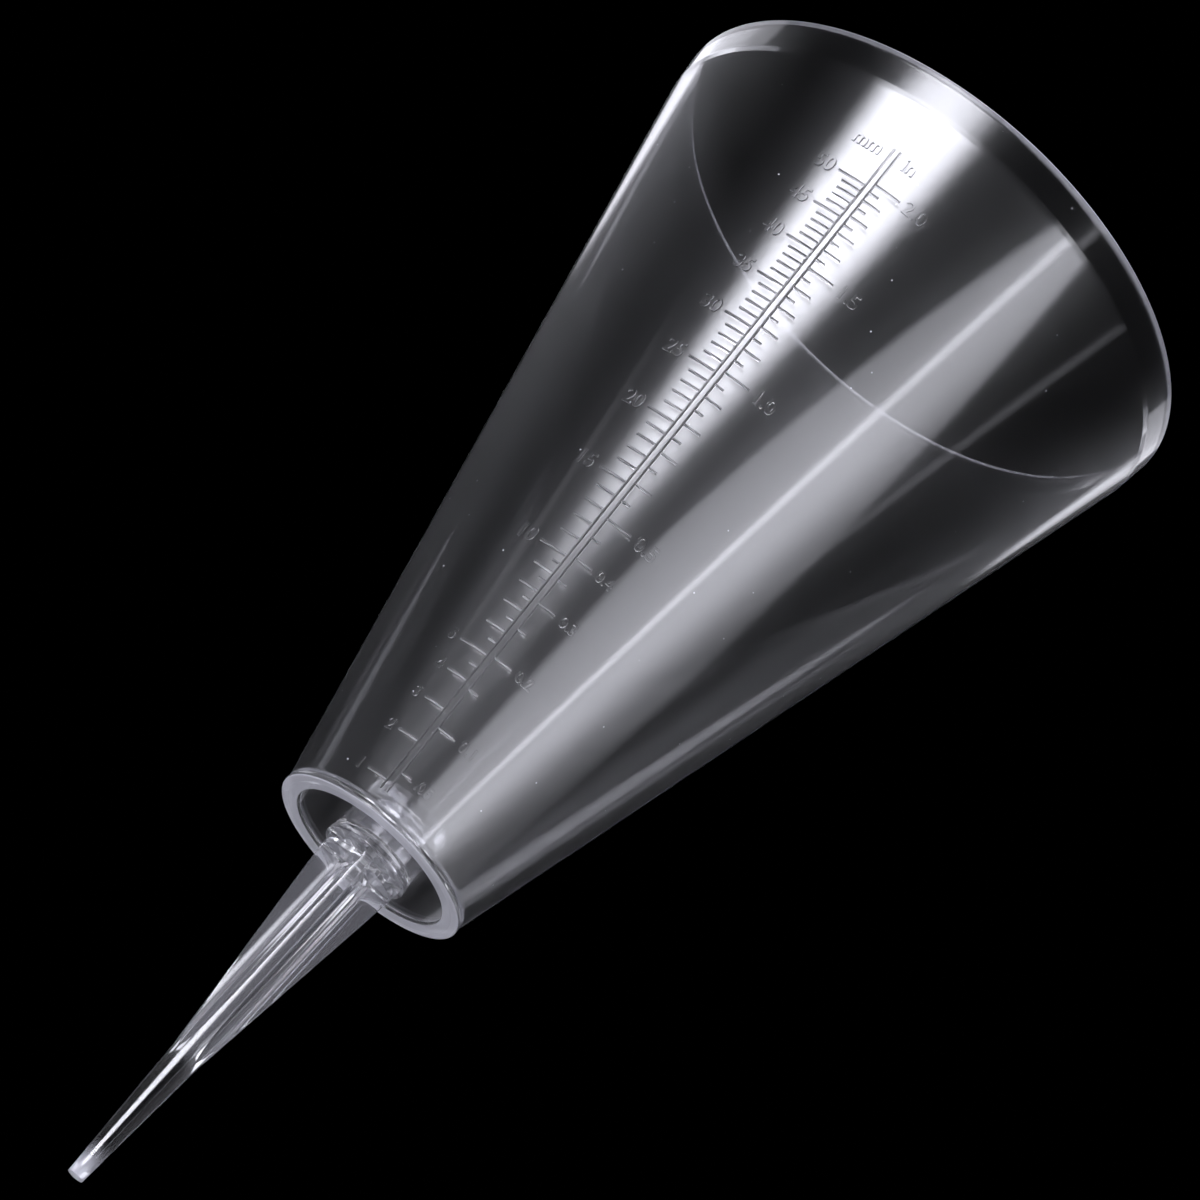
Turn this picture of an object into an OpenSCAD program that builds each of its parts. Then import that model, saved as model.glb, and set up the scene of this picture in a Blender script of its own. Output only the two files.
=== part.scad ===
// Conical rain gauge: a clear moulded cup with its graduations, on a push-in ground spike.
// All lengths are millimetres. +Z is up, and the foot ring's flat end, where the soil
// surface comes when the spike is pushed fully in, is z = 0.

/* [Cup] */
// Outside diameter of the rim
rim_d = 104; // [100:0.5:110]
// Height of the cup, from the foot ring's end to the rim
cup_h = 146.5; // [140:0.5:160]
// Height of the steeper band under the rim
band_h = 6; // [3:0.5:12]
// Growth in radius over that band
band_rise = 0.8; // [0.3:0.1:1.4]
// Outside diameter of the cone where it meets the foot plane
cone_d = 35.3; // [32:0.1:38]
// Thickness of the cup's wall
wall_t = 2; // [1.4:0.1:2.6]
// Chamfer round the rim's two edges
rim_edge = 0.4; // [0.2:0.1:0.6]

/* [Foot and socket] */
// Distance that the foot ring stands out from the cone
foot_out = 0.4; // [0.3:0.1:1]
// Width of the foot ring's flat end
foot_w = 3.2; // [2.6:0.1:4]
// Height of the foot ring's outer bead
foot_h = 0.5; // [0.4:0.1:1.5]
// Chamfer round the foot ring's end
foot_edge = 0.2; // [0.1:0.05:0.4]
// Depth of the recess inside the foot ring
recess_h = 0.6; // [0.5:0.1:3]
// Thickness of the cup's floor
floor_t = 1.4; // [1.2:0.1:2.6]
// Outside diameter of the socket boss
boss_d = 14.8; // [13:0.1:17]
// Bore of the socket
socket_d = 10; // [8:0.1:11]
// Depth of the socket
socket_depth = 8.4; // [6:0.1:12]
// Thickness of the roof over the socket
roof_t = 1.6; // [1:0.1:2.4]
// Chamfer round the boss inside the cup
boss_edge = 1; // [0.4:0.1:1.4]

/* [Graduations] */
// Highest graduation in millimetres of rain
scale_top = 50; // [40:5:55]
// Highest graduation in inches of rain
scale_top_in = 2; // [1.5:0.5:2]
// Start radius of the cone law that the graduations follow
scale_r = 16; // [15:0.1:17]
// Height at which that law starts
scale_z = -4.1; // [-5:0.1:-3]
// Height of the raised marks over the wall
relief = 0.3; // [0.2:0.05:0.5]
// Width of a graduation
tick_w = 0.4; // [0.3:0.05:0.6]
// Distance between the two centre lines
line_gap = 1.2; // [1:0.1:2]
// Width of a centre line
line_w = 0.4; // [0.3:0.05:0.6]
// Distance from the rim down to the end of the centre lines
line_drop = 15; // [12:0.5:18]
// Height at which the centre lines start
line_foot = 3.5; // [3:0.5:8]
// Length of a five millimetre graduation
long_mm = 5.3; // [4.5:0.1:7]
// Length of a one millimetre graduation
short_mm = 3.8; // [2.5:0.1:4.4]
// Length of a half millimetre graduation
half_mm = 1.6; // [1:0.1:2.4]
// Length of a half inch graduation
long_in = 5; // [4:0.1:7]
// Length of a tenth of an inch graduation
short_in = 3.5; // [2.5:0.1:3.9]
// Length of a twentieth of an inch graduation
half_in = 1.9; // [1:0.1:2.4]

/* [Figures] */
// Height of the figures from ten millimetres and half an inch up
figure_h = 2.5; // [2:0.1:3]
// Height of the figures below those
small_h = 1.9; // [1.6:0.1:2.4]
// Width of a figure, as a share of its height
figure_share = 0.66; // [0.55:0.01:0.75]
// Space between two figures, as a share of a figure's width
figure_space = 0.24; // [0.15:0.01:0.4]
// Width of the strokes of the figures
stroke = 0.32; // [0.2:0.02:0.4]
// Space between a graduation and its figures
figure_gap = 0.9; // [0.4:0.1:1.5]

/* [Ground spike] */
// Length of the spike below the foot plane
spike_l = 68.7; // [60:0.1:80]
// Diameter of the flat tip
tip_d = 2.8; // [2.2:0.1:4]
// Depth below the foot plane at which the grooves run out
knee_depth = 43.7; // [38:0.1:50]
// Diameter where the grooves run out
knee_d = 5.3; // [5:0.05:5.8]
// Diameter of the fins under the flange
shoulder_d = 14.4; // [13:0.1:15]
// Diameter of the flange
flange_d = 15.7; // [15:0.1:17]
// Thickness of the flange
flange_t = 1; // [0.8:0.1:1.6]
// Thickness of a fin between two grooves
fin_t = 1.7; // [1.4:0.1:2]
// Height of the short pockets under the flange
pocket_h = 1.5; // [1:0.1:2.5]
// Thickness of the collar between the pockets and the grooves
collar_t = 1; // [0.8:0.1:2]
// Turn of the fins from the graduations
spike_turn = 15; // [0:1:45]
// Length of the spigot over the flange
spigot_l = 8; // [5.5:0.1:8]
// Chamfer round the spigot's end
spigot_edge = 0.6; // [0.3:0.1:1]
// Running clearance round the spigot
fit_gap = 0.05; // [0.03:0.01:0.1]
// Gap between the flange and the boss
seat_gap = 0.1; // [0.05:0.05:0.3]

/* [Hidden] */
fine = 96;
inch = 25.4;
fins = 4;
sunk = 0.5;

rim_r = rim_d / 2;
band_z = cup_h - band_h;
line_top = cup_h - line_drop;
taper = (rim_r - band_rise - cone_d / 2) / band_z;
cone_angle = atan(taper);
wall_w = wall_t / cos(cone_angle);
floor_z = recess_h + floor_t;
foot_r = cone_d / 2 + foot_out;
foot_in_r = foot_r - foot_w;
boss_top = socket_depth + roof_t;
flange_top = -seat_gap;
flange_low = flange_top - flange_t;
collar_top = flange_low - pocket_h;
collar_low = collar_top - collar_t;
core_r = knee_d / 2;
groove_r = (core_r - fin_t / sqrt(2)) / (sqrt(2) - 1);
groove_at = fin_t / 2 + groove_r;

// Outer radius of the cup's cone at height z
function cone_r(z) = cone_d / 2 + taper * z;

// Height of the water in the cup for a rain depth, by the volume of a cone
function level(depth) =
    (pow(pow(scale_r, 3) + 3 * taper * pow(rim_r, 2) * depth, 1 / 3) - scale_r) / taper + scale_z;

// Half of the cup's wall, foot, floor and boss, as a section to be spun
module cup_section() {
    polygon([
        [foot_in_r + foot_edge, 0],
        [foot_r - foot_edge, 0],
        [foot_r, foot_edge],
        [foot_r, foot_h],
        [cone_r(foot_h + foot_out), foot_h + foot_out],
        [cone_r(band_z), band_z],
        [rim_r, cup_h - rim_edge],
        [rim_r - rim_edge, cup_h],
        [rim_r - wall_t + rim_edge, cup_h],
        [rim_r - wall_t, cup_h - rim_edge],
        [cone_r(band_z) - wall_w, band_z],
        [cone_r(floor_z) - wall_w, floor_z],
        [boss_d / 2, floor_z],
        [boss_d / 2, boss_top - boss_edge],
        [boss_d / 2 - boss_edge, boss_top],
        [0, boss_top],
        [0, socket_depth],
        [socket_d / 2, socket_depth],
        [socket_d / 2, 0],
        [boss_d / 2, 0],
        [boss_d / 2, recess_h],
        [foot_in_r, recess_h],
        [foot_in_r, foot_edge]
    ]);
}

// One raised graduation at height z, that starts start_x beside the scale's middle and
// runs run_x round the cup: towards +X where run_x is positive
module graduation(z, start_x, run_x) {
    r = cone_r(z);
    first = (run_x > 0 ? start_x : start_x + run_x) / r;
    rotate([0, 0, -90 + first * 180 / PI])
        rotate_extrude(angle = abs(run_x) / r * 180 / PI, $fn = fine)
            polygon([
                [r - sunk, z - tick_w / 2],
                [r + relief - taper * tick_w / 2, z - tick_w / 2],
                [r + relief + taper * tick_w / 2, z + tick_w / 2],
                [r - sunk, z + tick_w / 2]
            ]);
}

// One raised centre line up the wall, side_x beside the scale's middle
module centre_line(side_x) {
    translate([side_x, -cone_r(line_foot), line_foot])
        rotate([cone_angle, 0, 0])
            translate([-line_w / 2, -relief, 0])
                cube([line_w, relief + sunk, (line_top - line_foot) / cos(cone_angle)]);
}

// A straight stroke from point a to point b
module bar(a, b) {
    along = b - a;
    translate(a)
        rotate(atan2(along[1], along[0]))
            translate([0, -stroke / 2])
                square([norm(along), stroke]);
}

// Half a ring of outer radius r round [x, y]: the upper half, turned by turn
module bow(x, y, r, turn = 0) {
    translate([x, y])
        rotate(turn)
            intersection() {
                difference() {
                    circle(r = r, $fn = 24);
                    circle(r = r - stroke, $fn = 24);
                }
                translate([-r, 0])
                    square([2 * r, r]);
            }
}

// A bow w wide with its top at height h, on two legs down to height low
module arch(x, w, h, low = 0) {
    bow(x + w / 2, h - w / 2, w / 2);
    for (leg_x = [x + stroke / 2, x + w - stroke / 2])
        bar([leg_x, low], [leg_x, h - w / 2]);
}

// One figure or letter, h high and w wide, drawn in strokes from its lower left corner
module figure(mark, w, h) {
    half = stroke / 2;
    lobe = (h + stroke) / 4;
    small = h * 0.68;
    if (mark == "0") {
        arch(0, w, h, w / 2);
        bow(w / 2, w / 2, w / 2, 180);
    }
    if (mark == "1") {
        bar([w * 0.6, 0], [w * 0.6, h]);
        bar([w * 0.6, h - half], [w * 0.15, h * 0.76]);
    }
    if (mark == "2") {
        bow(w / 2, h - w / 2, w / 2);
        bar([w - half, h - w / 2], [half, half]);
        bar([0, half], [w, half]);
    }
    if (mark == "3")
        for (turn = [0, -90]) {
            bow(w / 2, h - lobe, lobe, turn);
            bow(w / 2, lobe, lobe, turn == 0 ? 180 : turn);
        }
    if (mark == "4") {
        bar([w * 0.72, 0], [w * 0.72, h]);
        bar([w * 0.72, h - half], [half, h * 0.32]);
        bar([0, h * 0.3], [w, h * 0.3]);
    }
    if (mark == "5") {
        for (turn = [180, -90])
            bow(w / 2, w / 2, w / 2, turn);
        bar([half, w - half], [w / 2, w - half]);
        bar([half, w - stroke], [half, h]);
        bar([0, h - half], [w * 0.95, h - half]);
    }
    if (mark == ".")
        square(stroke);
    if (mark == "i") {
        bar([half, 0], [half, small]);
        bar([half, h * 0.84], [half, h]);
    }
    if (mark == "n" || mark == "m")
        arch(0, w * 0.85, small);
    if (mark == "m")
        arch(w * 0.85 - stroke, w * 0.85, small);
}

// Width that a mark takes up in a row of figures w wide, with the space after it
function mark_run(mark, w) =
    (mark == "." || mark == "i" ? stroke : mark == "m" ? w * 1.7 - stroke : w) + w * figure_space;

// Width of the first count marks of a row
function row_run(marks, count, w) =
    count == 0 ? 0 : row_run(marks, count - 1, w) + mark_run(marks[count - 1], w);

// A row of raised marks h high round the wall, with its middle at height z. It starts
// beside the scale at edge_x, or ends there where edge_x is negative
module label(marks, z, h, edge_x) {
    w = h * figure_share;
    first_x = edge_x < 0 ? edge_x - row_run(marks, len(marks), w) : edge_x;
    for (i = [0 : len(marks) - 1])
        rotate([0, 0, (first_x + row_run(marks, i, w) + w / 2) / cone_r(z) * 180 / PI])
            translate([0, -cone_r(z), z])
                rotate([90 + cone_angle, 0, 0])
                    translate([-w / 2, -h / 2, -sunk])
                        linear_extrude(height = sunk + relief)
                            figure(marks[i], w, h);
}

// The millimetre graduations and figures, to the left of the centre lines
module millimetre_side() {
    edge_x = -line_gap / 2;
    for (depth = [1 : 1 : scale_top])
        graduation(level(depth), edge_x, depth % 5 == 0 ? -long_mm : -short_mm);
    for (depth = [4.5 : 1 : 9.5])
        graduation(level(depth), edge_x, -half_mm);
    for (depth = [10 : 5 : scale_top])
        label(str(depth), level(depth), figure_h, edge_x - long_mm - figure_gap);
    label("5", level(5), small_h, edge_x - long_mm - figure_gap);
    for (depth = [1 : 4])
        label(str(depth), level(depth), small_h, edge_x - short_mm - figure_gap);
    label("mm", line_top - figure_h / 2, figure_h, 2 * edge_x - figure_gap);
}

// The inch graduations and figures, to the right of the centre lines
module inch_side() {
    edge_x = line_gap / 2;
    for (twentieth = [1 : 1 : scale_top_in * 20])
        graduation(level(twentieth / 20 * inch), edge_x,
            twentieth % 10 == 0 ? long_in : twentieth % 2 == 0 ? short_in : half_in);
    for (half = [1 : scale_top_in * 2])
        label(str(floor(half / 2), ".", half % 2 * 5), level(half / 2 * inch), figure_h,
            edge_x + long_in + figure_gap);
    for (tenth = [1 : 4])
        label(str("0.", tenth), level(tenth / 10 * inch), small_h, edge_x + short_in + figure_gap);
    label(".05", level(0.05 * inch), small_h, edge_x + half_in + figure_gap);
    label("in", line_top - figure_h / 2, figure_h, 2 * edge_x + figure_gap);
}

// The cup, in one moulding with its foot ring, socket boss and graduations
module cup() {
    color([0.86, 0.88, 0.92, 0.35]) {
        rotate_extrude($fn = fine)
            cup_section();
        for (side = [-1, 1])
            centre_line(side * line_gap / 2);
        millimetre_side();
        inch_side();
    }
}

// One straight groove between two fins, from height low to height high
module groove(low, high) {
    reach = flange_d;
    translate([0, 0, low])
        linear_extrude(height = high - low)
            union() {
                translate([groove_at, groove_at])
                    circle(r = groove_r, $fn = fine);
                translate([groove_at, fin_t / 2])
                    square([reach, reach]);
                translate([fin_t / 2, groove_at])
                    square([reach, reach]);
            }
}

// The spike's tapered body and spigot, before its grooves are cut
module spike_body() {
    rotate_extrude($fn = fine)
        polygon([
            [0, -spike_l],
            [tip_d / 2, -spike_l],
            [knee_d / 2, -knee_depth],
            [shoulder_d / 2, flange_low],
            [flange_d / 2, flange_low],
            [flange_d / 2, flange_top],
            [socket_d / 2 - fit_gap, flange_top],
            [socket_d / 2 - fit_gap, flange_top + spigot_l - spigot_edge],
            [socket_d / 2 - fit_gap - spigot_edge, flange_top + spigot_l],
            [0, flange_top + spigot_l]
        ]);
}

// The ground spike: four fins under a flange, a plain tapered point and a spigot
module ground_spike() {
    color([0.88, 0.9, 0.95, 0.4])
        rotate([0, 0, -90 + spike_turn])
            difference() {
                spike_body();
                for (turn = [0 : fins - 1])
                    rotate([0, 0, turn * 360 / fins]) {
                        groove(-spike_l, collar_low);
                        groove(collar_top, flange_low);
                    }
            }
}

cup();
ground_spike();
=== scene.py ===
"""Clear conical rain gauge on its ground spike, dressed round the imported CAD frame.

The cup and the spike are modelled again as smooth clear plastic with the same sizes as their
CAD nodes: rounded edges, round-topped graduations, raised figures and a spike with four fins.
Everything is in the row frame: +Z up the cup's axis, the soil line at z = 0, the graduations
facing -Y.
"""

import logging
import math
from collections.abc import Sequence
from dataclasses import dataclass
from enum import Enum
from typing import Any

import bmesh
import bpy
import numpy as np
from mathutils import Matrix, Vector

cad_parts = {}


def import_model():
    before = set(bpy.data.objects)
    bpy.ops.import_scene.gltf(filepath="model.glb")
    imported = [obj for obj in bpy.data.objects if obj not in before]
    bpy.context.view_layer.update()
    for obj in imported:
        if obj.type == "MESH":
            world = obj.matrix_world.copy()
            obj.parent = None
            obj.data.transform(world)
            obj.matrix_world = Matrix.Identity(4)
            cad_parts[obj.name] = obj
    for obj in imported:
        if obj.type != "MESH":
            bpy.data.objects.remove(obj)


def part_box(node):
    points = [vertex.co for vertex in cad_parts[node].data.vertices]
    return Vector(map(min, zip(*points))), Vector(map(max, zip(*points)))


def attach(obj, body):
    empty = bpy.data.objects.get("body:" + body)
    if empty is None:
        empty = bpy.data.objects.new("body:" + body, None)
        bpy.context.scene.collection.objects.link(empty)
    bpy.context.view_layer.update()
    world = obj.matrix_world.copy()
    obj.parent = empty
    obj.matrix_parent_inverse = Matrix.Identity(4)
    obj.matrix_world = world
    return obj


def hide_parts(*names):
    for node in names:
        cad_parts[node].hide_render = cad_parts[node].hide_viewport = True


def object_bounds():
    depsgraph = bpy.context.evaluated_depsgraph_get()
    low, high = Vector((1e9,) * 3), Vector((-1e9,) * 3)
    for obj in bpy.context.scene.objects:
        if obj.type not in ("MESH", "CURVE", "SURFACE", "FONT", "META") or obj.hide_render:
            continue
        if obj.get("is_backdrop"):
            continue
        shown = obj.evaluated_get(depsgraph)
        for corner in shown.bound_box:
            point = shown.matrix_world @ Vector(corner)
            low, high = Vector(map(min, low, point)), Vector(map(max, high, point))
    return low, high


LOG = logging.getLogger("rain_gauge")
MM = 0.001
INCH = 25.4
SENSOR_MM = 36.0
NEVER = 99


class Side(Enum):
    """The two sides of the scale, as the sign of their distance along the wall."""

    MILLIMETRES = -1
    INCHES = 1


class Graph:
    """A node tree in which every node is made by one method."""

    def __init__(self, tree: bpy.types.NodeTree) -> None:
        """Wraps a tree.

        Args:
            tree: The node tree to add nodes to.
        """
        self.tree = tree

    def feed(self, socket: bpy.types.NodeSocket, value: Any) -> None:
        """Links a term or socket to an input, or sets the input's own value.

        Args:
            socket: The input socket.
            value: A Term, an output socket, or a plain value.
        """
        if isinstance(value, Term):
            value = value.socket
        if isinstance(value, bpy.types.NodeSocket):
            self.tree.links.new(value, socket)
        else:
            socket.default_value = value

    def node(self, kind: str, settings: dict[str, Any] | None = None,
             inputs: dict[str | int, Any] | None = None) -> bpy.types.Node:
        """Makes a node, applies its settings first, then its inputs.

        Args:
            kind: The node's Blender type.
            settings: Properties, such as an operation. "stops" sets a ramp's stops.
            inputs: Values or links by socket name or number.

        Returns:
            The new node.
        """
        made = self.tree.nodes.new(kind)
        for name, value in (settings or {}).items():
            if name == "stops":
                self._set_stops(made, value)
            else:
                setattr(made, name, value)
        for key, value in (inputs or {}).items():
            self.feed(made.inputs[key], value)
        return made

    @staticmethod
    def _set_stops(ramp: bpy.types.Node, stops: Sequence[tuple[float, float]]) -> None:
        """Gives a colour ramp grey stops.

        Args:
            ramp: The colour ramp node.
            stops: Pairs of a position and a grey value.
        """
        elements = ramp.color_ramp.elements
        while len(elements) < len(stops):
            elements.new(1.0)
        for element, (position, grey) in zip(elements, stops):
            element.position = position
            element.color = (grey, grey, grey, 1.0)

    def term(self, kind: str, settings: dict[str, Any] | None = None,
             inputs: dict[str | int, Any] | None = None, output: str | int = 0) -> "Term":
        """Makes a node and returns one of its outputs as a term.

        Args:
            kind: The node's Blender type.
            settings: Properties, such as an operation.
            inputs: Values or links by socket name or number.
            output: The output's name or number.

        Returns:
            The output as a term.
        """
        return Term(self, self.node(kind, settings, inputs).outputs[output])

    def parts(self, vector: Any) -> tuple["Term", "Term", "Term"]:
        """Splits a vector into its three numbers."""
        split = self.node("ShaderNodeSeparateXYZ", None, {0: vector})
        return tuple(Term(self, split.outputs[i]) for i in range(3))

    def vector(self, x: Any, y: Any, z: Any) -> "Term":
        """Joins three numbers to a vector."""
        return self.term("ShaderNodeCombineXYZ", None, {0: x, 1: y, 2: z})


class Term:
    """A number in a node tree, on which Python's operators add Math nodes."""

    def __init__(self, graph: Graph, socket: bpy.types.NodeSocket) -> None:
        """Wraps an output socket of a graph."""
        self.graph = graph
        self.socket = socket

    def math(self, operation: str, *others: Any) -> "Term":
        """Adds one Math node with this term as its first input.

        Args:
            operation: The Math node's operation.
            others: The other inputs, terms or numbers.

        Returns:
            The node's result.
        """
        inputs = dict(enumerate((self, *others)))
        return self.graph.term("ShaderNodeMath", {"operation": operation}, inputs)

    def _reflected(self, operation: str, first: float) -> "Term":
        """Adds one Math node with a number as its first input."""
        return self.graph.term("ShaderNodeMath", {"operation": operation}, {0: first, 1: self})

    def __add__(self, other: Any) -> "Term":
        """Sum."""
        return self.math("ADD", other)

    __radd__ = __add__

    def __mul__(self, other: Any) -> "Term":
        """Product."""
        return self.math("MULTIPLY", other)

    __rmul__ = __mul__

    def __sub__(self, other: Any) -> "Term":
        """Difference."""
        return self.math("SUBTRACT", other)

    def __rsub__(self, other: float) -> "Term":
        """Difference from a number."""
        return self._reflected("SUBTRACT", other)

    def __truediv__(self, other: Any) -> "Term":
        """Quotient."""
        return self.math("DIVIDE", other)

    def __rtruediv__(self, other: float) -> "Term":
        """Quotient of a number by the term."""
        return self._reflected("DIVIDE", other)

    def __pow__(self, other: Any) -> "Term":
        """Power."""
        return self.math("POWER", other)

    def __mod__(self, other: Any) -> "Term":
        """Remainder."""
        return self.math("MODULO", other)

    def __neg__(self) -> "Term":
        """Negative."""
        return self * -1.0

    def __abs__(self) -> "Term":
        """Size without sign."""
        return self.math("ABSOLUTE")

    def above(self, limit: Any) -> "Term":
        """1 where the term is greater than the limit, otherwise 0."""
        return self.math("GREATER_THAN", limit)

    def below(self, limit: Any) -> "Term":
        """1 where the term is less than the limit, otherwise 0."""
        return self.math("LESS_THAN", limit)

    def least(self, other: Any) -> "Term":
        """The smaller of two."""
        return self.math("MINIMUM", other)

    def rise(self, low: Any, high: Any) -> "Term":
        """Rises smoothly from 0 at low to 1 at high, or falls where low is above high."""
        return self.graph.term("ShaderNodeMapRange", {"interpolation_type": "SMOOTHSTEP"},
                               {0: self, 1: low, 2: high, 3: 0.0, 4: 1.0})


@dataclass(frozen=True)
class Viewpoint:
    """The photograph's camera, in millimetres in the row frame."""

    at: tuple[float, float, float] = (183.2, -595.0, -217.9)
    look_along: tuple[float, float, float] = (-0.2699, 0.8726, 0.4070)
    up: tuple[float, float, float] = (-0.5599, -0.4862, 0.6710)
    lens_mm: float = 125.62
    near_mm: float = 10.0

    def place(self) -> bpy.types.Object:
        """Makes the camera and sets it as the scene's.

        Returns:
            The camera object.
        """
        data = bpy.data.cameras.new("viewpoint")
        data.lens = self.lens_mm
        data.sensor_width = SENSOR_MM
        data.clip_start = self.near_mm * MM
        camera = bpy.data.objects.new("viewpoint", data)
        bpy.context.scene.collection.objects.link(camera)
        back = -Vector(self.look_along).normalized()
        right = Vector(self.up).cross(back).normalized()
        axes = Matrix((right, back.cross(right), back)).transposed()
        camera.matrix_world = Matrix.Translation(Vector(self.at) * MM) @ axes.to_4x4()
        bpy.context.scene.camera = camera
        return camera


@dataclass(frozen=True)
class SoftBox:
    """A soft oval light in the studio's sky, with its angles in degrees."""

    azimuth: float
    elevation: float
    half_width: float
    half_height: float
    strength: float
    softness: float = 0.35
    lean: float = 0.0
    squareness: float = 2.0

    def light(self, azimuth: Term, elevation: Term) -> Term:
        """Works out the light that comes from a direction.

        Args:
            azimuth: The direction's azimuth in degrees.
            elevation: Its elevation in degrees.

        Returns:
            The light's strength there.
        """
        up = elevation - self.elevation
        across = (azimuth - (self.azimuth - 180.0)) % 360.0 - 180.0 - up * self.lean
        power = self.squareness
        reach = (abs(across / self.half_width) ** power
                 + abs(up / self.half_height) ** power) ** (1.0 / power)
        return reach.rise(1.0 + self.softness, 1.0 - self.softness) * self.strength


@dataclass(frozen=True)
class BouncePanel:
    """A pale panel low on the right, whose top edge falls away to both sides."""

    azimuths: tuple[float, float] = (-120.0, 60.0)
    glow: tuple[tuple[float, float], ...] = (
        (0.0, 0.0), (0.235, 0.0), (0.265, 0.42), (0.40, 0.60), (0.465, 0.86), (0.50, 0.80),
        (0.56, 0.44), (0.61, 0.22), (0.70, 0.12), (0.84, 0.04), (1.0, 0.0))
    strength: float = 5.0
    top: float = 8.6
    left_rise: tuple[float, float] = (18.4, 0.27)
    right_fall: tuple[float, float] = (3.1, -0.136)
    edge: float = 0.5

    def light(self, graph: Graph, azimuth: Term, elevation: Term) -> Term:
        """Works out the panel's light in a direction.

        Args:
            graph: The world's graph.
            azimuth: The direction's azimuth in degrees.
            elevation: Its elevation in degrees.

        Returns:
            The light's strength there.
        """
        low, high = self.azimuths
        along = (azimuth - low) / (high - low)
        ramp = graph.term("ShaderNodeValToRGB", {"stops": self.glow}, {0: along})
        left, left_slope = self.left_rise
        right, right_slope = self.right_fall
        top = (azimuth * left_slope + left).least(azimuth * right_slope + right).least(self.top)
        return ramp * (elevation - top).rise(self.edge, -self.edge) * self.strength


@dataclass(frozen=True)
class Studio:
    """The plain studio: a pale floor under a dark sky with soft lights.

    Angles are in degrees. The key is the tall highlight along the scale, and the last two of
    the fills are the side panels that the spike's grooves show.
    """

    floor_z_mm: float = -300.0
    floor_radius_mm: float = 4200.0
    floor_segments: int = 96
    floor_grey: float = 0.78
    floor_roughness: float = 0.9
    mirrored: float = 0.05
    ground_light: float = 0.3
    horizon: tuple[float, float] = (6.5, 3.0)
    roof: tuple[float, float] = (61.0, 66.0)
    roof_light: float = 1.5
    tint: tuple[float, float, float] = (0.91, 0.915, 1.0)
    key: SoftBox = SoftBox(-105.5, 9.3, 18.5, 8.9, 19.0, softness=0.42)
    fills: tuple[SoftBox, ...] = (
        SoftBox(-108.0, 1.0, 42.0, 10.0, 0.22, softness=0.55),
        SoftBox(-104.0, 49.0, 34.0, 9.0, 0.9, softness=0.5),
        SoftBox(-42.0, 0.5, 1.6, 14.0, 4.5, softness=0.9, lean=0.5),
        SoftBox(-4.0, 7.0, 1.3, 4.5, 0.8, softness=0.7, lean=1.3),
        SoftBox(-136.5, 1.2, 1.3, 3.4, 0.6, softness=0.8, lean=-1.5),
        SoftBox(155.0, 28.0, 29.5, 5.2, 1.7, softness=0.06, squareness=8.0),
        SoftBox(65.0, 26.4, 17.0, 4.4, 1.1, softness=0.06, squareness=8.0),
    )

    @staticmethod
    def reflected(graph: Graph) -> Term:
        """Tells whether a ray has met a mirror on its way.

        Args:
            graph: The graph to add the nodes to.

        Returns:
            1 after a reflection, or else 0.
        """
        depth = graph.node("ShaderNodeLightPath").outputs["Glossy Depth"]
        return Term(graph, depth).above(0.5)

    def build_floor(self) -> bpy.types.Object:
        """Makes the round pale floor, which mirrors don't show.

        Returns:
            The floor, marked as stage.
        """
        shape = bmesh.new()
        bmesh.ops.create_circle(shape, cap_ends=True, segments=self.floor_segments,
                                radius=self.floor_radius_mm * MM,
                                matrix=Matrix.Translation((0, 0, self.floor_z_mm * MM)))
        mesh = bpy.data.meshes.new("floor")
        shape.to_mesh(mesh)
        shape.free()
        floor = bpy.data.objects.new("floor", mesh)
        bpy.context.scene.collection.objects.link(floor)
        paper = bpy.data.materials.new("pale_paper")
        paper.use_nodes = True
        paper.node_tree.nodes.clear()
        graph = Graph(paper.node_tree)
        pale = (self.floor_grey, self.floor_grey, self.floor_grey, 1.0)
        matt = graph.node("ShaderNodeBsdfPrincipled", None,
                          {"Base Color": pale, "Roughness": self.floor_roughness})
        gone = graph.node("ShaderNodeBsdfTransparent")
        paint = graph.node("ShaderNodeMixShader", None, {
            0: self.reflected(graph), 1: matt.outputs[0], 2: gone.outputs[0]})
        output = graph.node("ShaderNodeOutputMaterial")
        graph.feed(output.inputs["Surface"], paint.outputs[0])
        mesh.materials.append(paper)
        floor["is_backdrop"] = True
        return floor

    def build_sky(self) -> None:
        """Makes the world: the ground's glow, the roof light and the soft boxes."""
        world = bpy.data.worlds.new("studio")
        bpy.context.scene.world = world
        world.use_nodes = True
        world.node_tree.nodes.clear()
        graph = Graph(world.node_tree)
        direction = graph.node("ShaderNodeTexCoord").outputs["Generated"]
        x, y, z = graph.parts(direction)
        azimuth = y.math("ARCTAN2", x).math("DEGREES")
        elevation = z.math("ARCSINE").math("DEGREES")
        seen = 1.0 - self.reflected(graph) * (1.0 - self.mirrored)
        light = elevation.rise(*self.horizon) * seen * self.ground_light
        light = light + elevation.rise(*self.roof) * self.roof_light
        light = light + BouncePanel().light(graph, azimuth, elevation)
        for box in (self.key, *self.fills):
            light = light + box.light(azimuth, elevation)
        background = graph.node("ShaderNodeBackground", None,
                                {"Color": (*self.tint, 1.0), "Strength": light})
        output = graph.node("ShaderNodeOutputWorld")
        graph.feed(output.inputs["Surface"], background.outputs[0])


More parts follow.
